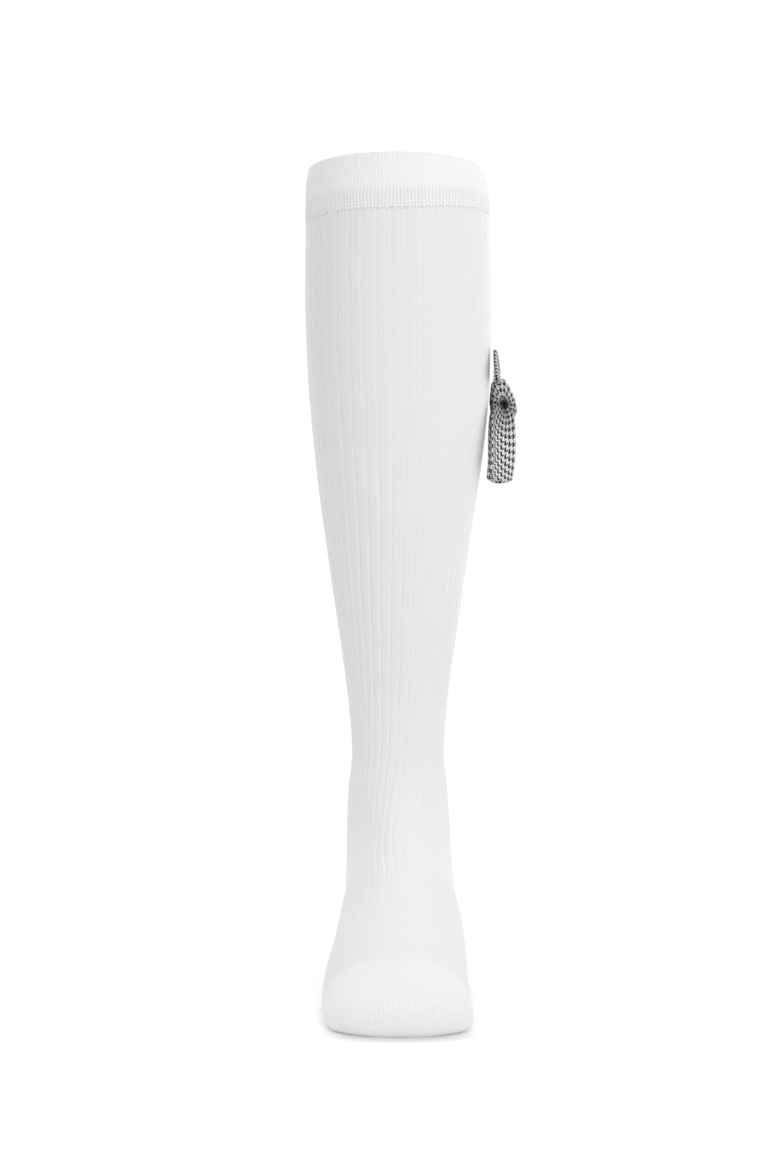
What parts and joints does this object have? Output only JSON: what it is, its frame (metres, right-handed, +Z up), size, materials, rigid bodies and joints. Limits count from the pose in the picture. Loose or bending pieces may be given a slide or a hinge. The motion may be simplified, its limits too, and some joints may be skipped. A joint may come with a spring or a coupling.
{
  "type": "knee sock",
  "caption": "White ribbed knee sock standing as worn, with a turned cuff, a plain heel and closed toe, and a houndstooth ribbon bow at the outer calf.",
  "frame": {"origin": "on the inner face of the sole, under the axis of the leg, where the wearer's foot bears", "axes": "+Z up the leg, -Y towards the toes, +X towards the side with the bow"},
  "size_m": [0.1045, 0.2145, 0.392],
  "materials": {
    "cuff_knit": "fine knit",
    "ribbed_knit": "ribbed knit",
    "plain_knit": "plain knit",
    "houndstooth_ribbon": "woven black and white check"
  },
  "bodies": {
    "root": {"cuff": "cuff_knit", "leg": "ribbed_knit", "heel": "plain_knit", "foot": "ribbed_knit", "toe": "plain_knit", "bow_knot": "houndstooth_ribbon", "bow_loop_front": "houndstooth_ribbon", "bow_loop_rear": "houndstooth_ribbon", "bow_tail_front": "houndstooth_ribbon", "bow_tail_rear": "houndstooth_ribbon"}
  },
  "joints": []
}
